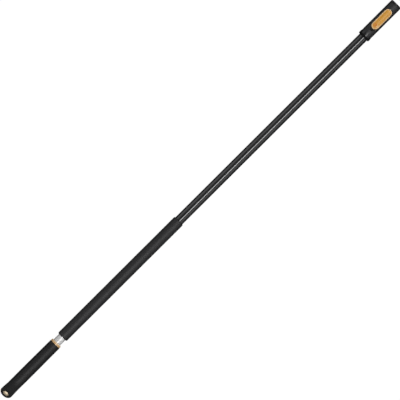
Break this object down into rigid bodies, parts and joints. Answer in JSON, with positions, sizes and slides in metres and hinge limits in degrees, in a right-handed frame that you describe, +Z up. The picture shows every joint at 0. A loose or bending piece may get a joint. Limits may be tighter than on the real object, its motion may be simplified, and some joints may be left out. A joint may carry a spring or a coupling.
{
  "type": "roller extension pole",
  "caption": "Telescopic pole with a foam grip, a rubber handle that twists to lock the length, and a quick-release threaded head for a paint roller.",
  "frame": {"origin": "centre of the closed pole's footprint on the surface it lies on, under the middle of its length", "axes": "+X along the pole towards the tool head, +Z up through the release button, +Y to the left when looking from the handle to the head"},
  "size_m": [1.4112, 0.0341, 0.0329],
  "materials": {
    "coated_tube": "glossy black coating over aluminium",
    "foam": "matte closed-cell foam",
    "head_plastic": "satin moulded nylon",
    "gold_plastic": "satin gold moulded plastic",
    "grip_rubber": "soft matte rubber",
    "bare_aluminium": "drawn, clear anodised",
    "steel": "zinc plated",
    "thread_metal": "die-cast zinc",
    "nylon": "natural nylon"
  },
  "bodies": {
    "outer_pole": {"outer_tube": "coated_tube", "foam_grip": "foam", "guide_bush": "head_plastic", "tip_insert": "nylon", "tip_rivets": "steel", "tip_housing": "head_plastic", "mouth_ring": "grip_rubber", "threaded_stud": "thread_metal", "stud_pin": "steel", "button_pivot_pin": "steel", "button_spring": "steel"},
    "button": {"release_button": "gold_plastic", "latch_pawl": "steel", "pawl_rivet": "steel"},
    "collet": {"lock_collet": "nylon", "drag_ring": "grip_rubber"},
    "cone": {"expander_cone": "gold_plastic"},
    "inner_pole": {"inner_tube": "bare_aluminium", "handle_core": "gold_plastic", "handle_grip": "grip_rubber", "end_plug": "gold_plastic", "handle_pins": "steel", "inner_plug": "nylon", "plug_pin": "steel", "lock_screw": "steel", "stop_washer": "steel", "stop_nut": "steel"}
  },
  "joints": [
    {"name": "pole_slide", "type": "slide", "parent": "outer_pole", "child": "collet", "axis": [-1, 0, 0], "range_m": [0, 0.93]},
    {"name": "pole_twist", "type": "hinge", "parent": "collet", "child": "inner_pole", "pos_m": [0.5, 0, 0.016], "axis": [1, 0, 0], "range_deg": [0, 180]},
    {"name": "cone_draw", "type": "slide", "parent": "collet", "child": "cone", "axis": [-1, 0, 0], "range_m": [0, 0.0015]},
    {"name": "button_rock", "type": "hinge", "parent": "outer_pole", "child": "button", "pos_m": [0.64275, 0, 0.0222], "axis": [0, -1, 0], "range_deg": [0, 5.5], "stiffness_Nm_per_rad": 0.3, "springref_deg": -11.46, "deforming": ["button_spring"]}
  ],
  "couplings": [
    {"joint": "cone_draw", "follows": "pole_twist", "m_per_rad": 0.000477}
  ]
}
